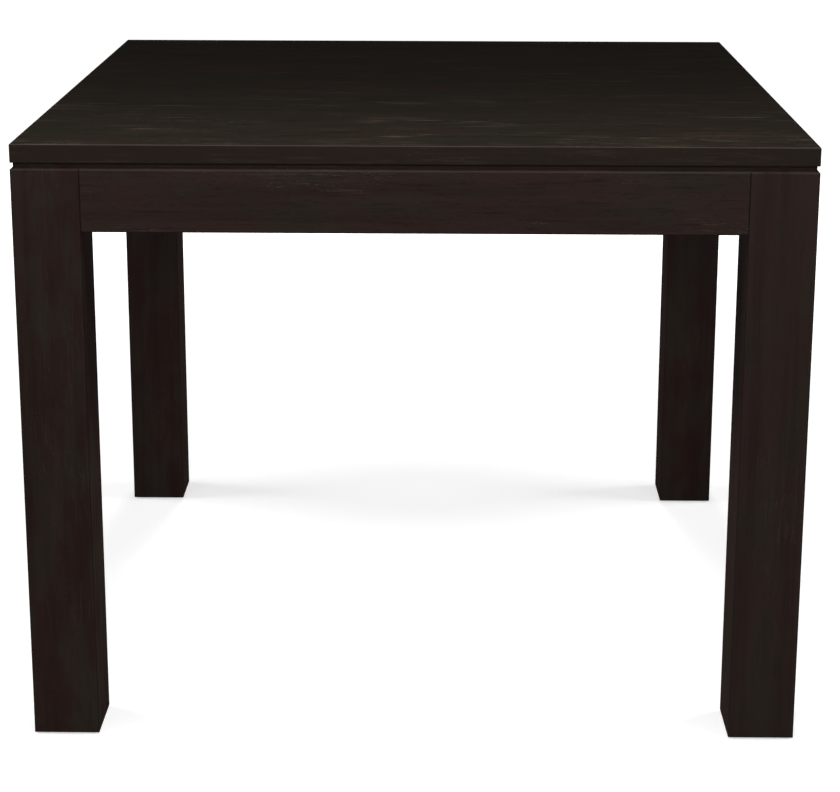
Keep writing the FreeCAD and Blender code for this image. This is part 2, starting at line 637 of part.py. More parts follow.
def make_button(side, number, turn, sign):
    """One wooden button, with its origin under the top on the apron's inner face."""
    body = new_body(f"top_button_{side}_{number}")
    foot = "-sizes.button_height"
    back = "sizes.button_gap"
    front = "(sizes.button_gap + sizes.button_body)"
    section = sketch_on(body, "section", "YZ_Plane")
    draw_outline(section, [(back, "0"), (back, "-sizes.slot_drop"),
                           ("-sizes.button_tongue", "-sizes.slot_drop"),
                           ("-sizes.button_tongue", foot), (front, foot), (front, "0")])
    pad(body, "button", section, "sizes.button_width", midplane=True)
    finish_edges(body, "Chamfer", "front_bevel", "sizes.button_ease",
                 lambda middle, along: (abs(along.x) > 0.5 and middle.z < -sheet.slot_drop
                                        and middle.y > sheet.button_body / 2))
    screw_hole = sketch_on(body, "screw_centre", "XY_Plane")
    middle = ("0", "sizes.button_gap + sizes.button_body / 2")
    draw_circles(screw_hole, [middle], "sizes.screw_diameter + sizes.bolt_clearance / 2")
    pocket(body, "screw_hole", screw_hole)
    place(body, from_side(turn, button_place(side, sign), "sizes.apron_thickness")
          + (UNDER_TOP,), turn)
    NODES.append(body)


button_screw_places = []
for side_name, side_turn, side_span in SIDES:
    for button_number, button_sign in ((1, "-"), (2, "")):
        make_button(side_name, button_number, side_turn, button_sign)
        button_screw_places.append(
            (from_side(side_turn, button_place(side_name, button_sign), BUTTON_SCREW)
             + (f"{UNDER_TOP} - sizes.button_height",), about_z(0)))
button_screw = make_screw("button_screw", "(sizes.button_height + sizes.screw_bite)")
NODES.append(group("button_screws", button_screw, button_screw_places))

# ---------------------------------------------------------------- bearer under the middle

bearer = new_body("centre_bearer")
bearer_section = sketch_on(bearer, "section", "XZ_Plane")
HALF_BEARER = "sizes.bearer_width / 2"
draw_outline(bearer_section, [(f"-{HALF_BEARER}", "-sizes.bearer_height"),
                              (HALF_BEARER, "-sizes.bearer_height"), (HALF_BEARER, "0"),
                              (f"-{HALF_BEARER}", "0")])
pad(bearer, "bar", bearer_section, midplane=True,
    length="sizes.top_depth - 2 * sizes.apron_thickness + 2 * sizes.bearer_tenon")
finish_edges(bearer, "Chamfer", "lower_bevels", "sizes.bearer_ease",
             lambda middle, along: abs(along.y) > 0.5 and middle.z < -sheet.bearer_height / 2)
slot_centres = [("0", f"{BOARD_WIDTH} * {number - 0.5} - {HALF_DEPTH}")
                for number in range(2, BOARDS)]
shank_slots = sketch_on(bearer, "shank_slot_outline", "XY_Plane")
draw_slots(shank_slots, slot_centres, "sizes.slide_length",
           "(sizes.screw_diameter + sizes.bolt_clearance / 2)")
pocket(bearer, "shank_slots", shank_slots)
head_slots = sketch_on(bearer, "head_slot_outline", "XY_Plane", "-sizes.bearer_height")
draw_slots(head_slots, slot_centres, "sizes.slide_length",
           "(sizes.screw_head + 2 * sizes.counterbore_play)")
pocket(bearer, "head_slots", head_slots, "sizes.counterbore_depth", away=True)
place(bearer, ("0", "0", UNDER_TOP), 0)
NODES.append(bearer)

bearer_screw = make_screw("bearer_screw", f"({BEARER_SCREW_WOOD} + sizes.screw_bite)")
NODES.append(group("bearer_screws", bearer_screw, [
    ((across, along, f"{UNDER_TOP} - {BEARER_SCREW_WOOD}"), about_z(0))
    for across, along in slot_centres]))

# ---------------------------------------------------------------- glides

GLIDE_RADIUS = "sizes.glide_diameter / 2"
HOLLOW_RADIUS = "(sizes.nail_head / 2 + sizes.counterbore_play)"
NAIL_HOLE = "(sizes.nail_diameter + sizes.thread_fit) / 2"


def make_glide(corner, turn):
    """One moulded glide, hollow below for the head of its nail and bevelled at its rim."""
    body = new_body(f"glide_{corner}")
    turned(body, "glide_disc", [(HOLLOW_RADIUS, "0"),
                                (f"{GLIDE_RADIUS} - sizes.glide_proud / 2", "0"),
                                (GLIDE_RADIUS, "sizes.glide_proud / 2"),
                                (GLIDE_RADIUS, "sizes.glide_height"),
                                (NAIL_HOLE, "sizes.glide_height"),
                                (NAIL_HOLE, "sizes.nail_recess"),
                                (HOLLOW_RADIUS, "sizes.nail_recess")])
    place(body, from_corner(turn, "sizes.leg_width / 2", "sizes.leg_width / 2") + ("0",), turn)
    NODES.append(body)


for corner_name, corner_turn in CORNERS:
    make_glide(corner_name, corner_turn)

nail = new_body("nail")
NAIL_RADIUS = "sizes.nail_diameter / 2"
turned(nail, "nail_shank", [("0", "-sizes.nail_head_height"),
                            ("sizes.nail_head / 2", "-sizes.nail_head_height"),
                            ("sizes.nail_head / 2", "0"), (NAIL_RADIUS, "0"),
                            (NAIL_RADIUS, "sizes.nail_length - sizes.nail_diameter"),
                            ("0", "sizes.nail_length")])
NODES.append(group("glide_nails", nail, [
    (from_corner(turn, "sizes.leg_width / 2", "sizes.leg_width / 2") + ("sizes.nail_recess",),
     about_z(0)) for corner, turn in CORNERS]))

# ---------------------------------------------------------------- checks and export

doc.recompute()
for item in doc.Objects:
    if "Invalid" in item.State or "Error" in item.State:
        raise RuntimeError(f"{item.Name} of {item.Label} failed: {item.State}")
    if item.TypeId == "PartDesign::Pocket":
        if item.Shape.Volume >= item.BaseFeature.Shape.Volume:
            raise RuntimeError(f"{item.Name} cuts nothing")
for node in NODES:
    if node.Shape.isNull() or not node.Shape.isValid():
        raise RuntimeError(f"{node.Label} has no sound shape")

os.makedirs("parts", exist_ok=True)
for node in NODES:
    node.Shape.exportStep(f"parts/{node.Label}.step")
print(len(NODES), "nodes written")
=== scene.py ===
from math import radians

import bpy
from mathutils import Matrix, Vector


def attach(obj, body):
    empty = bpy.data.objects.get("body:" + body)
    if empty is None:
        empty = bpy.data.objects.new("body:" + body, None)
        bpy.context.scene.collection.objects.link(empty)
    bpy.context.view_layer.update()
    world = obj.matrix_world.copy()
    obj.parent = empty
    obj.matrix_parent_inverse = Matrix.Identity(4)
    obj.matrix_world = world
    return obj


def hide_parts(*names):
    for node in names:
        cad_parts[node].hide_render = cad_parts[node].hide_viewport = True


# A square parsons dining table in solid mahogany with an espresso stain: a top of eight boards,
# four square legs and four aprons, bolted together through corner blocks under the top.
# Lengths are in metres where nothing else is said.  The origin is on the floor under the middle
# of the table, +Z is up, -Y is the front.

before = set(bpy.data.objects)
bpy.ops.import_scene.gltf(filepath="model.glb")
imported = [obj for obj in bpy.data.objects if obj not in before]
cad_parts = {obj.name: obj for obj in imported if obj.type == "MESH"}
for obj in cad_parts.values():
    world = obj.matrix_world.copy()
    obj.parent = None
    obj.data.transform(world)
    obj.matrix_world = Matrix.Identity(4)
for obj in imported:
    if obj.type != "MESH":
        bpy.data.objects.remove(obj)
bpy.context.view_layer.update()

# ---------------------------------------------------------------- camera

# The camera stands three metres from the middle of the table, a little above the top, and looks
# down on it.  The lens's shift lowers the view the rest of the way, so that the legs stay nearly
# upright.  The sensor and the focal length are in millimetres, the shift in picture widths.
CAMERA_PLACE = (0.0363, -2.9456, 1.2057)
CAMERA_TILT = radians(90 - 14.037)
CAMERA_TURN = radians(0.675)
CAMERA_ROLL = radians(0.141)
SENSOR_WIDTH, FOCAL_LENGTH = 36, 90.281
LENS_SHIFT = -0.13

camera_data = bpy.data.cameras.new("camera")
camera_data.sensor_width = SENSOR_WIDTH
camera_data.lens = FOCAL_LENGTH
camera_data.shift_y = LENS_SHIFT
camera = bpy.data.objects.new("camera", camera_data)
bpy.context.scene.collection.objects.link(camera)
camera.matrix_world = (Matrix.Translation(CAMERA_PLACE)
                       @ Matrix.Rotation(CAMERA_TURN, 4, "Z")
                       @ Matrix.Rotation(CAMERA_TILT, 4, "X")
                       @ Matrix.Rotation(CAMERA_ROLL, 4, "Z"))
bpy.context.scene.camera = camera

# ---------------------------------------------------------------- floor, background and light

# The studio floor is plain, pale and matt, and behind it all is white.  A long soft box hangs
# over the front edge of the top, four stand around the table, and the rest is even light.
bpy.context.scene.view_settings.view_transform = "Standard"
FLOOR_SIDE = 80
FLOOR_COLOUR = "#e6e6e6"
# Away from the lamps the floor glows more, so that it stays as white as what is behind it.
NEAR, NEAR_GLOW = 1.0, 0.44
FAR, FAR_GLOW = 4.0, 0.99
EVEN_LIGHT = 0.02


def linear(colour):
    """A colour written as #rrggbb, turned to linear light with full alpha."""
    parts = [int(colour[start:start + 2], 16) / 255 for start in (1, 3, 5)]
    return [part / 12.92 if part <= 0.04045 else ((part + 0.055) / 1.055) ** 2.4
            for part in parts] + [1.0]


def add_node(tree, kind, settings=None, inputs=None):
    """A node with its settings; each input gets a value or a link from another node's output.

    An input goes by its name, or by its number where several have one name: a Mix node's
    factor and its two colours are 0, 6 and 7, and the mixed colour is its output 2.
    """
    node = tree.nodes.new(kind)
    for name, value in (settings or {}).items():
        setattr(node, name, value)
    for key, value in (inputs or {}).items():
        if isinstance(value, bpy.types.NodeSocket):
            tree.links.new(value, node.inputs[key])
        else:
            node.inputs[key].default_value = value
    return node


def empty_material(name):
    """A material whose node tree has nothing in it yet."""
    material = bpy.data.materials.new(name)
    material.use_nodes = True
    material.node_tree.nodes.clear()
    return material


def seen_directly(tree):
    """1 where the camera sees a surface straight, mirrored or through glass, else 0."""
    path = add_node(tree, "ShaderNodeLightPath").outputs
    mirrored = add_node(tree, "ShaderNodeMath", {"operation": "MAXIMUM"},
                        {0: path["Is Camera Ray"], 1: path["Is Glossy Ray"]})
    return add_node(tree, "ShaderNodeMath", {"operation": "MAXIMUM"},
                    {0: mirrored.outputs[0], 1: path["Is Transmission Ray"]}).outputs[0]


bpy.ops.object.select_all(action="DESELECT")
bpy.ops.mesh.primitive_plane_add(size=FLOOR_SIDE, location=(0, 0, 0))
floor = bpy.context.object
floor.name = "studio_floor"
floor_paint = empty_material("matt_floor_paint")
tree = floor_paint.node_tree
paint = add_node(tree, "ShaderNodeBsdfDiffuse", None, {"Color": linear(FLOOR_COLOUR)})
place = add_node(tree, "ShaderNodeTexCoord").outputs["Object"]
away = add_node(tree, "ShaderNodeVectorMath", {"operation": "LENGTH"}, {0: place})
strength = add_node(tree, "ShaderNodeMapRange", {"interpolation_type": "SMOOTHSTEP"},
                    {"Value": away.outputs["Value"], "From Min": NEAR, "From Max": FAR,
                     "To Min": NEAR_GLOW, "To Max": FAR_GLOW})
glow = add_node(tree, "ShaderNodeMath", {"operation": "MULTIPLY"},
                {0: seen_directly(tree), 1: strength.outputs[0]})
lift = add_node(tree, "ShaderNodeEmission", None, {"Strength": glow.outputs[0]})
both = add_node(tree, "ShaderNodeAddShader", None, {0: paint.outputs[0], 1: lift.outputs[0]})
add_node(tree, "ShaderNodeOutputMaterial", None, {"Surface": both.outputs[0]})
floor.data.materials.append(floor_paint)

world = bpy.data.worlds.new("studio")
bpy.context.scene.world = world
world.use_nodes = True
tree = world.node_tree
tree.nodes.clear()
even = add_node(tree, "ShaderNodeBackground", None, {"Strength": EVEN_LIGHT})
white = add_node(tree, "ShaderNodeBackground", None, {"Strength": 1.0})
for background in (even, white):
    background.inputs["Color"].default_value = (1, 1, 1, 1)
chosen = add_node(tree, "ShaderNodeMixShader", None,
                  {0: seen_directly(tree), 1: even.outputs[0], 2: white.outputs[0]})
add_node(tree, "ShaderNodeOutputWorld", None, {"Surface": chosen.outputs[0]})

SOFT_BOXES = [  # name, place, the point it looks at, width, height, watts
    ("high_soft_box", (0.0, -0.62, 1.25), (0.0, -0.55, 0.7), 2.2, 0.3, 11),
    ("front_soft_box", (0.0, -4.2, 1.7), (0.0, -0.4, 0.45), 0.8, 1.2, 68),
    ("left_soft_box", (-3.0, 0.4, 1.4), (0.0, 0.0, 0.3), 1.8, 0.3, 62),
    ("right_soft_box", (3.0, 0.4, 1.4), (0.0, 0.0, 0.3), 1.8, 0.3, 62),
    ("back_soft_box", (0.0, 3.6, 1.4), (0.0, 0.0, 0.4), 0.8, 0.3, 52),
]
for name, place, target, width, height, watts in SOFT_BOXES:
    lamp_data = bpy.data.lights.new(name, "AREA")
    lamp_data.shape = "RECTANGLE"
    lamp_data.size, lamp_data.size_y = width, height
    lamp_data.energy = watts
    lamp = bpy.data.objects.new(name, lamp_data)
    bpy.context.scene.collection.objects.link(lamp)
    lamp.location = place
    lamp.rotation_euler = (Vector(target) - Vector(place)).to_track_quat("-Z", "Y").to_euler()
    lamp.visible_camera = False
# The box behind is left out of reflections, or its glare would hide the colour of the top.
bpy.data.objects["back_soft_box"].visible_glossy = False

# ---------------------------------------------------------------- top

# Eight mahogany boards, 121 mm wide and 23 mm thick, glued edge to edge and planed as one, so
# that the joints hardly show.  The grain runs from left to right, the edges are rounded 1.5 mm.
TABLE_SIDE, TABLE_HEIGHT = 0.965, 0.762
EDGE = TABLE_SIDE / 2
BOARD_WIDTH = TABLE_SIDE / 8
# The turns that lay the grain along each axis.
ALONG_X, ALONG_Y, ALONG_Z = (0, 0, 0), (0, 0, radians(90)), (0, radians(90), 0)
# A mark along an arris fades out over 1.2 mm, and a dark band leaves 0.3 of it.
ARRIS_FADE, ARRIS_IN_BAND = 1.2, 0.3
# How rough the wood is between its dark bands and in them.
PLAIN_ROUGHNESS, BAND_ROUGHNESS = 0.5, 0.62
# How far a face looks up where its painted side shading starts to go and where it is gone, and how
# strong that painted shading is on an upright face.
TINT_GOES, TINT_GONE, TINT_STRENGTH = 0.2, 0.8, 0.75


def nearest_arris(tree, place, low, high):
    """How far a point on one of a box's faces is from the nearest arris of that box.

    The table is its own mirror image, so the sign of x and y is dropped first.
    """
    middle = [(a + b) / 2 for a, b in zip(low, high)]
    half = [(b - a) / 2 for a, b in zip(low, high)]
    folded = add_node(tree, "ShaderNodeVectorMath", {"operation": "ABSOLUTE"}, {0: place})
    centred = add_node(tree, "ShaderNodeVectorMath", {"operation": "SUBTRACT"},
                       {0: folded.outputs[0], 1: middle})
    one_side = add_node(tree, "ShaderNodeVectorMath", {"operation": "ABSOLUTE"},
                        {0: centred.outputs[0]})
    inside = add_node(tree, "ShaderNodeVectorMath", {"operation": "SUBTRACT"},
                      {0: half, 1: one_side.outputs[0]})
    apart = add_node(tree, "ShaderNodeVectorMath", {"operation": "ABSOLUTE"},
                     {0: inside.outputs[0]})
    split = add_node(tree, "ShaderNodeSeparateXYZ", None, {0: apart.outputs[0]}).outputs
    # The face itself is the nearest, so the second smallest of the three is wanted.
    lesser = add_node(tree, "ShaderNodeMath", {"operation": "MINIMUM"},
                      {0: split[0], 1: split[1]})
    greater = add_node(tree, "ShaderNodeMath", {"operation": "MAXIMUM"},
                       {0: split[0], 1: split[1]})
    capped = add_node(tree, "ShaderNodeMath", {"operation": "MINIMUM"},
                      {0: greater.outputs[0], 1: split[2]})
    return add_node(tree, "ShaderNodeMath", {"operation": "MAXIMUM"},
                    {0: lesser.outputs[0], 1: capped.outputs[0]}).outputs[0]


def wood(name, base, layers, grain, pieces, arrises, coat, painted_side_shade=None, figure=None):
    """Wood with layers of marks along the grain, each piece with a figure of its own.

    A layer has the width and length of its marks in millimetres, the two values of the noise
    between which they come up, how strongly they show, and their colour.  pieces is an offset,
    a scale and a weight, which turn a place into the number of the piece that it lies in.  An
    arris layer has the lowest and highest corner of a box along whose arrises it shows, how far
    from them it reaches in millimetres, how strongly it shows, and its colour.  coat is the
    weight and the roughness of the lacquer.  painted_side_shade is a colour that the upright faces tend
    to.  figure is the number of the first plain piece, and how lively the first and the plain
    pieces are.
    """
    material = empty_material(name)
    tree = material.node_tree
    place = add_node(tree, "ShaderNodeTexCoord").outputs["Object"]

    offset, scale, weight = pieces
    moved = add_node(tree, "ShaderNodeVectorMath", {"operation": "ADD"}, {0: place, 1: offset})
    counted = add_node(tree, "ShaderNodeVectorMath", {"operation": "MULTIPLY"},
                       {0: moved.outputs[0], 1: scale})
    whole = add_node(tree, "ShaderNodeVectorMath", {"operation": "FLOOR"},
                     {0: counted.outputs[0]})
    piece = add_node(tree, "ShaderNodeVectorMath", {"operation": "DOT_PRODUCT"},
                     {0: whole.outputs[0], 1: weight}).outputs["Value"]
    # On the top, the livelier figure of the front boards is partly painted sheen.
    if figure:
        first_plain, liveliest_with_sheen, plain = figure
        lively = add_node(tree, "ShaderNodeMapRange", None,
                          {"Value": piece, "From Min": 0.0, "From Max": first_plain,
                           "To Min": liveliest_with_sheen, "To Max": plain}).outputs[0]

    marks = {}
    colour = linear(base)
    for layer, (width, length, low, high, strength, tint) in layers.items():
        drawn = add_node(tree, "ShaderNodeMapping", {"vector_type": "TEXTURE"},
                         {"Vector": place, "Rotation": grain, "Scale": (length / width, 1, 1)})
        noise = add_node(tree, "ShaderNodeTexNoise", {"noise_dimensions": "4D"},
                         {"Vector": drawn.outputs[0], "W": piece, "Scale": 1000 / width,
                          "Detail": 3.0, "Roughness": 0.6})
        shown = add_node(tree, "ShaderNodeMapRange", {"interpolation_type": "SMOOTHSTEP"},
                         {"Value": noise.outputs[0], "From Min": low, "From Max": high,
                          "To Max": strength})
        if layer.startswith("grouped"):
            shown = add_node(tree, "ShaderNodeMath", {"operation": "MULTIPLY"},
                             {0: shown.outputs[0], 1: marks["groups"]})
        if figure and layer.endswith(("streaks", "pores")):
            shown = add_node(tree, "ShaderNodeMath", {"operation": "MULTIPLY"},
                             {0: shown.outputs[0], 1: lively})
        marks[layer] = shown.outputs[0]
        if tint:
            colour = add_node(tree, "ShaderNodeMix", {"data_type": "RGBA"},
                              {0: marks[layer], 6: colour, 7: linear(tint)}).outputs[2]
    # The upright faces get a colour of their own by the way they face: painted shading.
    if painted_side_shade:
        facing = add_node(tree, "ShaderNodeTexCoord").outputs["Normal"]
        upward = add_node(tree, "ShaderNodeSeparateXYZ", None, {0: facing}).outputs["Z"]
        upright = add_node(tree, "ShaderNodeMapRange", None,
                           {"Value": upward, "From Min": TINT_GOES, "From Max": TINT_GONE,
                            "To Min": TINT_STRENGTH, "To Max": 0.0})
        colour = add_node(tree, "ShaderNodeMix", {"data_type": "RGBA"},
                          {0: upright.outputs[0], 6: colour, 7: linear(painted_side_shade)}).outputs[2]
    band = {"Value": marks["bands"], "From Min": 0.0, "From Max": layers["bands"][4]}
    for low, high, reach, strength, tint in arrises:
        close = add_node(tree, "ShaderNodeMapRange", {"interpolation_type": "SMOOTHSTEP"},
                         {"Value": nearest_arris(tree, place, low, high),
                          "From Min": reach / 1000, "From Max": (reach - ARRIS_FADE) / 1000,
                          "To Max": strength})
        uneven = add_node(tree, "ShaderNodeMapRange", None,
                          {**band, "To Min": 1.0, "To Max": ARRIS_IN_BAND})
        shown = add_node(tree, "ShaderNodeMath", {"operation": "MULTIPLY"},
                         {0: close.outputs[0], 1: uneven.outputs[0]})
        colour = add_node(tree, "ShaderNodeMix", {"data_type": "RGBA"},
                          {0: shown.outputs[0], 6: colour, 7: linear(tint)}).outputs[2]

    bump = add_node(tree, "ShaderNodeBump", {"invert": True},
                    {"Strength": 0.5, "Distance": 0.0001, "Height": marks["pores"]})
    rough = add_node(tree, "ShaderNodeMapRange", None,
                     {**band, "To Min": PLAIN_ROUGHNESS, "To Max": BAND_ROUGHNESS})
    shader = add_node(tree, "ShaderNodeBsdfPrincipled", None,
                      {"Base Color": colour, "Roughness": rough.outputs[0],
                       "Normal": bump.outputs[0]})
    # The wood itself is matt, and only what lies over it shines.
    shader.inputs["Specular IOR Level"].default_value = 0.0
    shader.inputs["Coat Weight"].default_value = coat[0]
    shader.inputs["Coat Roughness"].default_value = coat[1]
    add_node(tree, "ShaderNodeOutputMaterial", None, {"Surface": shader.outputs[0]})
    return material


def espresso_layers(cool, streaks, ticks, width=1.0):
    """Mahogany, planed and sanded, under an espresso stain.

    The eye sees a near-black brown with soft red and olive clouds, dim bands and fine streaks
    along the grain, and short pores, some open and dark, some filled with lacquer and light.
    streaks and ticks are how strong the streaks and the pores are, and width how wide.
    """
    return {
        "clouds": (40 * width, 125 * width, 0.38, 0.62, 1.0, cool),
        "bands": (17, 480, 0.58, 0.30, 0.38, "#1a1512"),
        "dark streaks": (3.2 * width, 60, 0.47, 0.30, 0.45 * streaks, "#17120f"),
        "groups": (45, 160, 0.46, 0.62, 1.0, None),
        # On the top these light streaks are drawn stronger, and livelier at the front, where they
        # stand in for the lacquer's sheen as well as the grain: partly painted sheen.
        "grouped light streaks": (2.4 * width, 50 * width, 0.52, 0.70, 0.35 * streaks, "#4a4037"),
        # Real pores are 0.2 mm wide; they are drawn at a millimetre or two, or they wouldn't show.
        "pores": (1.1 * width, 9 * width, 0.56, 0.70, 0.5 * ticks, "#120e0c"),
        "grouped filled pores": (1.0 * width, 5 * width, 0.58, 0.72, 0.5 * ticks, "#5a4f46"),
    }


def dress(material, *starts):
    """Give a material to every CAD node whose name begins with one of these words."""
    for node_name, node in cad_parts.items():
        if node_name.startswith(starts):
            for material_slot in node.material_slots:
                material_slot.material = material


# The third colour is the one the top's upright faces tend to: painted shading, which sets them
# apart from the face that looks up.
TOP_BASE, TOP_COOL, TOP_SIDE_SHADE = "#221c18", "#1e1c17", "#251e1b"
# The pale colour along the arrises is bare wood where the sanding thinned the stain, and a painted
# highlight as well, such as light gives a rounded arris.
WORN_WOOD_AND_HIGHLIGHT = "#544a41"
TOP_WEAR_AND_HIGHLIGHT = (1.6, 0.42, WORN_WOOD_AND_HIGHLIGHT)
# A box's arris that carries no mark lies where no wood is, here below the boards.
BELOW_BOARDS = 0.7
# The lacquer's weight and roughness.  It is thin, because all around is white, and a full coat
# would mirror that and turn the dark wood grey.
SATIN_LACQUER = (0.006, 0.3)
# From the fourth board on all are plain; the first three, at the front, get livelier streaks and
# pores, and their livelier light streaks are painted sheen.
BOARD_STEP = 3.7
LIVELIEST_WITH_SHEEN, PLAIN = 1.4, 0.5
dress(wood("stained_mahogany_top", TOP_BASE,
           espresso_layers(TOP_COOL, streaks=1.6, ticks=0.8, width=1.8), ALONG_X,
           ((0, EDGE, 0), (1, 1 / BOARD_WIDTH, 1), (0, BOARD_STEP, 0)),
           [((-EDGE, -EDGE, BELOW_BOARDS), (EDGE, EDGE, TABLE_HEIGHT), *TOP_WEAR_AND_HIGHLIGHT)],
           SATIN_LACQUER, painted_side_shade=TOP_SIDE_SHADE, figure=(3 * BOARD_STEP, LIVELIEST_WITH_SHEEN, PLAIN)),
      "top_board")

# ---------------------------------------------------------------- legs

# Four square mahogany legs, 82.5 mm thick, planed, eased 1 mm and stained before the table is put
# together, so that the stain gathers along their arrises.  The dark line under the top, in the
# groove, is painted shade.
LEG_WIDTH = 0.0825
LEG_INSIDE = EDGE - LEG_WIDTH
GROOVE_DEPTH = 0.0035
GROOVE_FLOOR, GROOVE_FOOT, UNDER_TOP = EDGE - GROOVE_DEPTH, 0.731, 0.739
# The darkest colour is stain gathered in the joints, and painted shade in the groove.
FRAME_BASE, FRAME_COOL, GATHERED_STAIN_AND_SHADE = "#2c211f", "#29231f", "#0f0c0a"
# Along the groove's foot the pale arris line is worn wood and a painted highlight.
FRAME_WEAR_AND_HIGHLIGHT = (1.6, 0.2, WORN_WOOD_AND_HIGHLIGHT)
LEG_STAIN = (1.6, 0.6, GATHERED_STAIN_AND_SHADE)
# The dark line in the corner of the groove, right under the top, is painted shade.
GROOVE_PAINTED_SHADE = (2.6, 0.8, GATHERED_STAIN_AND_SHADE)
# Arrises without marks lie where no leg is: between the legs, and under the floor.
BETWEEN_LEGS, UNDER_FLOOR = 0.2, -1
# No two legs are sawn from the same plank, so one or two are redder and darker all over.  That
# tone's marks are drawn four metres wide, so that a whole leg lies within one.
LEG_TONE = (4000, 4000, 0.48, 0.58, 0.5, "#231412")
leg_layers = {"tone": LEG_TONE, **espresso_layers(FRAME_COOL, streaks=0.45, ticks=0.45)}
dress(wood("stained_mahogany_leg", FRAME_BASE, leg_layers, ALONG_Z,
           ((0, 0, 0), (1, 1, 1), (0.9, 4.3, 0)),
           [((BETWEEN_LEGS, BETWEEN_LEGS, UNDER_FLOOR), (EDGE, EDGE, GROOVE_FOOT), *FRAME_WEAR_AND_HIGHLIGHT),
            ((LEG_INSIDE, LEG_INSIDE, UNDER_FLOOR), (EDGE, EDGE, UNDER_TOP), *LEG_STAIN),
            ((BETWEEN_LEGS, BETWEEN_LEGS, UNDER_FLOOR), (GROOVE_FLOOR, GROOVE_FLOOR, UNDER_TOP),
             *GROOVE_PAINTED_SHADE)],
           SATIN_LACQUER), "leg_")

# ---------------------------------------------------------------- aprons

# Four mahogany boards, 84 mm high and 22 mm thick, dowelled between the legs and flush with them.
# A shadow groove under the top has a bevel at its foot, whose arris is painted pale: the sanding
# laid it bare, and the pale line is a painted highlight as well.
APRON_BOTTOM = 0.655
APRON_STAIN = (1.6, 0.65, GATHERED_STAIN_AND_SHADE)
# Where no apron is: past its ends, behind it, below it and above it.
PAST_ENDS, BEHIND, BELOW, ABOVE = 0.6, 0.44, 0.3, 0.8
for name, nodes, grain, weight, low, high in (
        ("stained_mahogany_apron", ("apron_front", "apron_back"), ALONG_X, (0, 4.1, 0),
         (-PAST_ENDS, BEHIND, BELOW), (PAST_ENDS, EDGE, GROOVE_FOOT)),
        ("stained_mahogany_side_apron", ("apron_left", "apron_right"), ALONG_Y, (6.7, 0, 0),
         (BEHIND, -PAST_ENDS, BELOW), (EDGE, PAST_ENDS, GROOVE_FOOT))):
    # The stain gathers at the apron's ends and lower edge; the dark line in the corner of the
    # groove is painted shade.
    ends_low = [max(value, -LEG_INSIDE) for value in low[:2]] + [APRON_BOTTOM]
    ends_high = [LEG_INSIDE if value > EDGE else value for value in high[:2]] + [ABOVE]
    groove_high = [GROOVE_FLOOR if value == EDGE else value for value in high[:2]] + [UNDER_TOP]
    dress(wood(name, FRAME_BASE, espresso_layers(FRAME_COOL, streaks=1.0, ticks=1.1), grain,
               ((0, 0, 0), (1, 1, 1), weight),
               [(low, high, *FRAME_WEAR_AND_HIGHLIGHT), (ends_low, ends_high, *APRON_STAIN),
                (low, groove_high, *GROOVE_PAINTED_SHADE)],
               SATIN_LACQUER), *nodes)

# ---------------------------------------------------------------- corner blocks, buttons, bearer

# The pieces that don't show are mahogany offcuts, planed and left unstained under one thin
# coat of sealer: four corner blocks set across the corners, eight buttons and one bearer.
# The eye sees plain red-brown wood with darker bands, pale streaks and dark open pores.
INNER_BASE = "#86573b"
INNER_LAYERS = {
    "clouds": (40, 200, 0.38, 0.62, 0.8, "#7d4a2f"),
    "bands": (9, 300, 0.60, 0.34, 0.5, "#6b3f28"),
    "dark streaks": (2.2, 45, 0.47, 0.30, 0.45, "#5a3320"),
    "groups": (30, 120, 0.42, 0.62, 1.0, None),
    "grouped light streaks": (2.0, 35, 0.52, 0.70, 0.6, "#b07f56"),
    # Pores of 0.2 mm, drawn at 0.7 mm to show.
    "pores": (0.7, 7, 0.56, 0.70, 0.6, "#3d2317"),
}
THIN_SEALER = (0.01, 0.45)
for name, nodes, grain in (
        ("planed_mahogany_block", ("corner_block_front_right", "corner_block_back_left"),
         (0, 0, radians(45))),
        ("planed_mahogany_cross_block", ("corner_block_front_left", "corner_block_back_right"),
         (0, 0, radians(-45))),
        ("planed_mahogany_bearer", ("top_button_front", "top_button_back", "centre_bearer"),
         ALONG_Y),
        ("planed_mahogany_button", ("top_button_left", "top_button_right"), ALONG_X)):
    dress(wood(name, INNER_BASE, INNER_LAYERS, grain, ((0, 0, 0), (4, 4, 1), (2.3, 5.9, 0)), [],
               THIN_SEALER), *nodes)

# ---------------------------------------------------------------- dowels

# Sixteen dowels turned from beech, 10 mm thick and 40 mm long, two glued into each end of an
# apron.  They set the aprons in line with the legs and keep them from twisting.
BEECH_BASE = "#c8a076"
BEECH_LAYERS = {
    "clouds": (20, 90, 0.40, 0.62, 0.6, "#bd9066"),
    "bands": (3, 80, 0.60, 0.40, 0.4, "#b3855b"),
    # The flecks that tell beech are real ones, 0.7 mm wide and 3 mm long.
    "pores": (0.7, 3, 0.58, 0.70, 0.5, "#8d6240"),
}
NO_LACQUER = (0.0, 0.5)
dress(wood("turned_beech", BEECH_BASE, BEECH_LAYERS, ALONG_X,
           ((0, 0, 0), (9, 9, 9), (2.3, 5.9, 1.7)), [], NO_LACQUER), "apron_dowels")

# ---------------------------------------------------------------- hanger bolts

# Eight M8 hanger bolts of cold-headed steel with bright zinc plating, two in each leg: a coarse
# wood thread bites in the leg, and a machine thread takes the nut behind the corner block.

# The turns that take the front left corner to each of the four.
CORNERS = (0, 90, 180, 270)
BOLT_HEIGHTS = (0.677, 0.713)
# How far from both faces of the corner the bolts start.
BOLT_START = 0.04563
# The bolt's length and the chamfer at its end in millimetres.
BOLT_LENGTH, BOLT_CHAMFER = 80.5, 0.7
# The width of the plating's dull specks in millimetres.
SPECK = 0.4


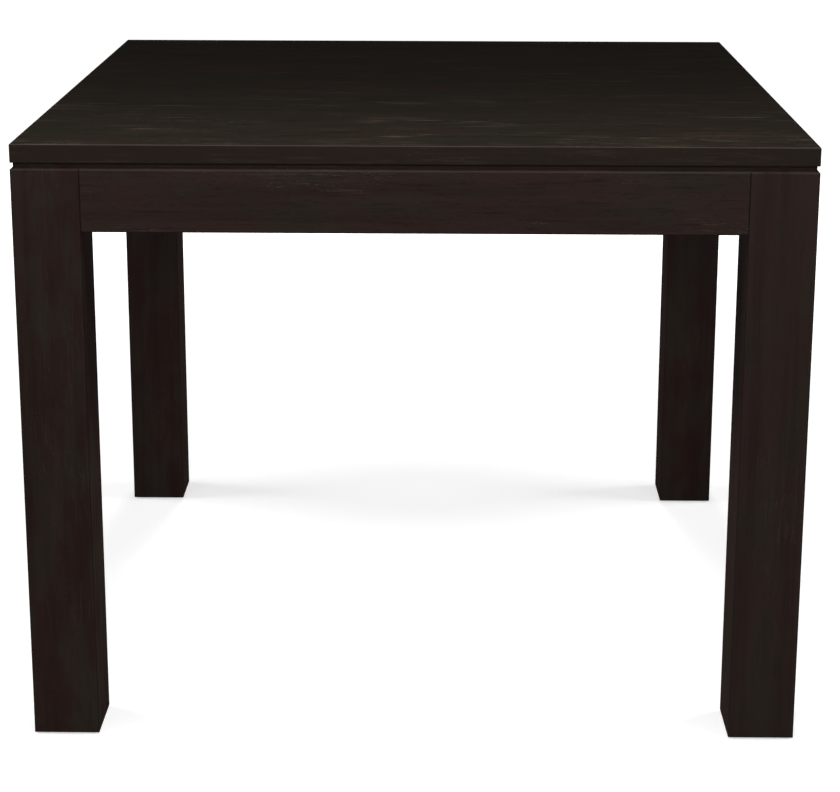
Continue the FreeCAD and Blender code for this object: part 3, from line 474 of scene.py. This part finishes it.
def plated_steel(name, tones, spread, roughness):
    """Steel rolled or cold-headed and then electroplated.

    The eye sees a soft metal sheen, cloudy from the plating bath, with fine dull specks.
    tones are the two colours of the clouds, and spread is their width in millimetres.
    roughness is that of the clear metal and of the specks.
    """
    material = empty_material(name)
    tree = material.node_tree
    place = add_node(tree, "ShaderNodeTexCoord").outputs["Object"]
    clouds = add_node(tree, "ShaderNodeTexNoise", None,
                      {"Vector": place, "Scale": 1000 / spread, "Detail": 3.0})
    specks = add_node(tree, "ShaderNodeTexNoise", None,
                      {"Vector": place, "Scale": 1000 / SPECK, "Detail": 2.0})
    blended = add_node(tree, "ShaderNodeMapRange", None,
                       {"Value": clouds.outputs[0], "From Min": 0.35, "From Max": 0.65})
    colour = add_node(tree, "ShaderNodeMix", {"data_type": "RGBA"},
                      {0: blended.outputs[0], 6: linear(tones[0]), 7: linear(tones[1])})
    rough = add_node(tree, "ShaderNodeMapRange", None,
                     {"Value": specks.outputs[0], "From Min": 0.35, "From Max": 0.65,
                      "To Min": roughness[0], "To Max": roughness[1]})
    bump = add_node(tree, "ShaderNodeBump", None,
                    {"Strength": 0.3, "Distance": 0.00003, "Height": specks.outputs[0]})
    shader = add_node(tree, "ShaderNodeBsdfPrincipled", None,
                      {"Base Color": colour.outputs[2], "Roughness": rough.outputs[0],
                       "Normal": bump.outputs[0]})
    shader.inputs["Metallic"].default_value = 1.0
    add_node(tree, "ShaderNodeOutputMaterial", None, {"Surface": shader.outputs[0]})
    return material


def drawn_line(points):
    """A line from point to point, drawn by pulling a vertex along."""
    bpy.ops.object.select_all(action="DESELECT")
    bpy.ops.mesh.primitive_plane_add(size=0.001, location=points[0])
    bpy.ops.object.transform_apply()
    bpy.ops.object.mode_set(mode="EDIT")
    bpy.ops.mesh.select_all(action="SELECT")
    bpy.ops.mesh.merge(type="CENTER")
    for here, there in zip(points, points[1:]):
        bpy.ops.mesh.extrude_vertices_move(
            TRANSFORM_OT_translate={"value": Vector(there) - Vector(here)})
    bpy.ops.object.mode_set(mode="OBJECT")
    return bpy.context.object


def closed(piece):
    """Merge the doubles of a piece and point its faces outwards."""
    bpy.ops.object.mode_set(mode="EDIT")
    bpy.ops.mesh.select_all(action="SELECT")
    bpy.ops.mesh.remove_doubles(threshold=0.000002)
    bpy.ops.mesh.normals_make_consistent(inside=False)
    bpy.ops.object.mode_set(mode="OBJECT")
    return piece


def turned(profile, steps=32):
    """A piece turned about Z from radii and heights in millimetres."""
    piece = drawn_line([(radius / 1000, 0, height / 1000) for radius, height in profile])
    bpy.ops.object.mode_set(mode="EDIT")
    bpy.ops.mesh.select_all(action="SELECT")
    bpy.ops.mesh.spin(steps=steps, angle=radians(360), center=(0, 0, 0), axis=(0, 0, 1))
    bpy.ops.object.mode_set(mode="OBJECT")
    return closed(piece)


def thread(core, crest, pitch, low, high):
    """A screw thread with its core, cut square at both ends, in millimetres."""
    # The two flanks take 0.44 of the pitch each, and the crest between them 0.12.
    piece = drawn_line([(core / 1000, 0, (low - pitch) / 1000),
                        (crest / 1000, 0, (low - pitch * 0.56) / 1000),
                        (crest / 1000, 0, (low - pitch * 0.44) / 1000),
                        (core / 1000, 0, low / 1000)])
    helix = piece.modifiers.new("helix", "SCREW")
    helix.axis, helix.screw_offset = "Z", pitch / 1000
    helix.steps = helix.render_steps = 20
    # The helix runs past both ends, so that both can be cut.
    helix.iterations = int((high - low) / pitch) + 3
    bpy.ops.object.modifier_apply(modifier="helix")
    closed(piece)
    bpy.ops.object.mode_set(mode="EDIT")
    for height, below in ((low, True), (high, False)):
        bpy.ops.mesh.select_all(action="SELECT")
        bpy.ops.mesh.bisect(plane_co=(0, 0, height / 1000), plane_no=(0, 0, 1), use_fill=True,
                            clear_inner=below, clear_outer=not below, threshold=0.000001)
    bpy.ops.object.mode_set(mode="OBJECT")
    return closed(piece)


def joined(*pieces):
    """Several shells made one piece, smooth but for its sharp edges."""
    bpy.ops.object.select_all(action="DESELECT")
    for piece in pieces:
        piece.select_set(True)
    bpy.context.view_layer.objects.active = pieces[0]
    if len(pieces) > 1:
        bpy.ops.object.join()
    bpy.ops.object.shade_smooth_by_angle(angle=radians(35))
    return pieces[0]


def put(model, material, node, places):
    """A copy of a finished model at each of its places, in the place of the CAD node."""
    model.data.materials.append(material)
    for number, place in enumerate(places, start=1):
        piece = bpy.data.objects.new(f"{node.rstrip('s')}_{number}", model.data.copy())
        piece.data.transform(place)
        bpy.context.scene.collection.objects.link(piece)
        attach(piece, "root")
        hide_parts(node)
    bpy.data.objects.remove(model)


def turn_about(axis, degrees):
    """A turn about one of the axes through the origin."""
    return Matrix.Rotation(radians(degrees), 4, axis)


def across_corners(distance):
    """The points of the bolts' lines this far from both faces of a corner, with +Z inwards."""
    return [turn_about("Z", corner) @ Matrix.Translation((distance - EDGE, distance - EDGE, height))
            @ turn_about("Z", 45) @ turn_about("Y", 90)
            for corner in CORNERS for height in BOLT_HEIGHTS]


bright_zinc = plated_steel("bright_zinc_plated_steel", ("#b9bec2", "#a3aab2"), 4, (0.28, 0.42))
put(joined(turned([(0, 0), (0.8, 0), (2.8, 8), (2.8, 36), (3.6, 38), (3.6, 41), (3.3, 42),
                   (3.3, BOLT_LENGTH - BOLT_CHAMFER), (3.0, BOLT_LENGTH), (0, BOLT_LENGTH)]),
           thread(2.75, 4.0, 2.6, 6, 37),
           thread(3.25, 4.0, 1.25, 42, BOLT_LENGTH - BOLT_CHAMFER)),
    bright_zinc, "hanger_bolts", across_corners(BOLT_START))

# ---------------------------------------------------------------- washers and nuts

# A stamped washer, 22 mm across, and a hexagon nut, 13 mm across its flats and turned down at
# its corners, on each hanger bolt.  The nuts pull the legs home against the aprons.
WASHER_SEAT, NUT_SEAT = 0.09371, 0.09513
# The hole's radius, and the nut's radius over its corners and its height, in millimetres.
HOLE = 4.05
NUT_CORNER, NUT_HEIGHT = 13 / 3 ** 0.5, 6.5
put(joined(turned([(HOLE, 0), (10.8, 0), (11, 0.2), (11, 1.6), (10.6, 2), (4.4, 2), (HOLE, 1.7),
                   (HOLE, 0)], steps=48)),
    bright_zinc, "bolt_washers", across_corners(WASHER_SEAT))

envelope = turned([(4.5, 0), (6.3, 0), (7.6, 0.75), (7.6, NUT_HEIGHT - 0.75), (6.3, NUT_HEIGHT),
                   (4.5, NUT_HEIGHT), (HOLE, NUT_HEIGHT - 0.45), (HOLE, 0.45), (4.5, 0)], steps=72)
bpy.ops.object.select_all(action="DESELECT")
# The hexagon is much taller than the nut, so that it cuts the nut's sides alone.
bpy.ops.mesh.primitive_cylinder_add(vertices=6, radius=NUT_CORNER / 1000, depth=0.02,
                                    rotation=(0, 0, radians(30)))
hexagon = bpy.context.object
bpy.ops.object.transform_apply()
corners = envelope.modifiers.new("corners", "BOOLEAN")
corners.operation, corners.object = "INTERSECT", hexagon
bpy.ops.object.select_all(action="DESELECT")
bpy.context.view_layer.objects.active = envelope
bpy.ops.object.modifier_apply(modifier="corners")
bpy.data.objects.remove(hexagon)
put(joined(closed(envelope)), bright_zinc, "bolt_nuts", across_corners(NUT_SEAT))

# ---------------------------------------------------------------- wood screws

# Thirty 4 mm screws of hardened steel with a pan head and a cross recess, zinc plated and
# passivated yellow: sixteen hold the corner blocks, eight the buttons, six the bearer.
BLOCK_SCREW_HEIGHTS = (0.675, 0.715)
# How far in from the apron's face a block's screws sit, and how far along it from the corner.
BLOCK_SCREW_IN, BLOCK_SCREW_ALONG = 0.03, 0.15193
# How far in from the table's edge the buttons' screws stand, how far from the middle of the
# front or back apron and of a side apron, and how high their heads sit.
BUTTON_SCREW_IN, BUTTON_SCREW_HEIGHT = 0.035, 0.719
FRONT_BUTTON, SIDE_BUTTON = 0.2, EDGE - 2.5 * BOARD_WIDTH
BEARER_SCREW_HEIGHT = 0.721
# Each arm of a recess is cut by a blade: its size, its middle, and how far its tip tapers.
BLADE_SIZE, BLADE_MIDDLE, BLADE_TAPER = (0.0042, 0.0009, 0.0024), (0, 0, -0.0021), (0.45, 0.7, 1)

yellow_zinc = plated_steel("yellow_passivated_steel", ("#c8a858", "#b29a6e"), 2, (0.3, 0.46))


def wood_screw(length):
    """A screw this many millimetres long that points up, with its head's seat at the origin."""
    head = turned([(0, -2), (1.5, -1.95), (2.8, -1.6), (3.6, -1.0), (3.95, -0.35), (4, 0), (0, 0)])
    for degrees in (0, 90):
        bpy.ops.object.select_all(action="DESELECT")
        bpy.ops.mesh.primitive_cube_add(size=1, scale=BLADE_SIZE, location=BLADE_MIDDLE)
        blade = bpy.context.object
        bpy.ops.object.transform_apply()
        bpy.ops.object.mode_set(mode="EDIT")
        bpy.ops.mesh.select_all(action="DESELECT")
        bpy.ops.object.mode_set(mode="OBJECT")
        for face in blade.data.polygons:
            face.select = face.normal.z > 0.5
        bpy.ops.object.mode_set(mode="EDIT")
        bpy.ops.transform.resize(value=BLADE_TAPER)
        bpy.ops.object.mode_set(mode="OBJECT")
        blade.data.transform(turn_about("Z", degrees))
        recess = head.modifiers.new("recess", "BOOLEAN")
        recess.operation, recess.object = "DIFFERENCE", blade
        bpy.context.view_layer.objects.active = head
        bpy.ops.object.modifier_apply(modifier="recess")
        bpy.data.objects.remove(blade)
    shank = turned([(0, -0.5), (1.4, -0.5), (1.4, 5), (1.25, 5.4), (1.25, length - 4),
                    (0, length)], steps=20)
    return joined(closed(head), shank, thread(1.2, 2.0, 1.8, 5, length - 3))


block_screw_places = [
    turn_about("Z", corner) @ Matrix.Translation((x - EDGE, y - EDGE, height))
    @ turn_about("Z", facing) @ turn_about("Y", 90)
    for corner in CORNERS for height in BLOCK_SCREW_HEIGHTS
    for x, y, facing in ((BLOCK_SCREW_ALONG, BLOCK_SCREW_IN, -90),
                         (BLOCK_SCREW_IN, BLOCK_SCREW_ALONG, 180))]
put(wood_screw(24), yellow_zinc, "corner_block_screws", block_screw_places)
button_screw_places = [
    turn_about("Z", side)
    @ Matrix.Translation((sign * along, BUTTON_SCREW_IN - EDGE, BUTTON_SCREW_HEIGHT))
    for side, along in ((0, FRONT_BUTTON), (90, SIDE_BUTTON), (180, FRONT_BUTTON),
                        (270, SIDE_BUTTON)) for sign in (-1, 1)]
put(wood_screw(32), yellow_zinc, "button_screws", button_screw_places)
# One bearer screw holds the middle of each board but the first and the last.
bearer_screw_places = [
    Matrix.Translation((0, BOARD_WIDTH * (board - 0.5) - EDGE, BEARER_SCREW_HEIGHT))
    for board in range(2, 8)]
put(wood_screw(30), yellow_zinc, "bearer_screws", bearer_screw_places)

# ---------------------------------------------------------------- glides

# Four round glides of moulded nylon, 25 mm across, let into the feet, each held by a nail.
# Moulded nylon is dull and slightly pebbled, and the floor has scuffed it paler here and there.
NYLON, SCUFFED_NYLON = "#231d1a", "#3a332f"
# The width of the pebbles and of the scuffs in millimetres, and how strong a scuff gets.
PEBBLE, SCUFF, SCUFF_STRENGTH = 0.5, 3, 0.6
moulded_nylon = empty_material("moulded_black_brown_nylon")
tree = moulded_nylon.node_tree
place = add_node(tree, "ShaderNodeTexCoord").outputs["Object"]
pebbles = add_node(tree, "ShaderNodeTexNoise", None,
                   {"Vector": place, "Scale": 1000 / PEBBLE, "Detail": 2.0})
scuffs = add_node(tree, "ShaderNodeTexNoise", None,
                  {"Vector": place, "Scale": 1000 / SCUFF, "Detail": 3.0})
scuffed = add_node(tree, "ShaderNodeMapRange", None,
                   {"Value": scuffs.outputs[0], "From Min": 0.55, "From Max": 0.75,
                    "To Max": SCUFF_STRENGTH})
colour = add_node(tree, "ShaderNodeMix", {"data_type": "RGBA"},
                  {0: scuffed.outputs[0], 6: linear(NYLON), 7: linear(SCUFFED_NYLON)})
rough = add_node(tree, "ShaderNodeMapRange", None,
                 {"Value": scuffed.outputs[0], "From Min": 0.0, "From Max": SCUFF_STRENGTH,
                  "To Min": 0.45, "To Max": 0.7})
bump = add_node(tree, "ShaderNodeBump", None,
                {"Strength": 0.3, "Distance": 0.00005, "Height": pebbles.outputs[0]})
shader = add_node(tree, "ShaderNodeBsdfPrincipled", None,
                  {"Base Color": colour.outputs[2], "Roughness": rough.outputs[0],
                   "Normal": bump.outputs[0]})
shader.inputs["IOR"].default_value = 1.53
add_node(tree, "ShaderNodeOutputMaterial", None, {"Surface": shader.outputs[0]})
dress(moulded_nylon, "glide_front", "glide_back")

# ---------------------------------------------------------------- glide nails

# Four flat-headed steel nails, 22 mm long and plated like the screws.  Each is driven up through
# the middle of a glide into its leg, with the head sunk in the glide, clear of the floor.
NAIL_SEAT = 0.002
put(joined(turned([(0, -1.2), (3.2, -1.15), (3.8, -0.9), (4, -0.45), (4, -0.1), (3.8, 0), (1.4, 0),
                   (1.4, 19), (0, 22)])),
    yellow_zinc, "glide_nails",
    [turn_about("Z", corner)
     @ Matrix.Translation((LEG_WIDTH / 2 - EDGE, LEG_WIDTH / 2 - EDGE, NAIL_SEAT))
     for corner in CORNERS])

# ---------------------------------------------------------------- update

bpy.context.view_layer.update()
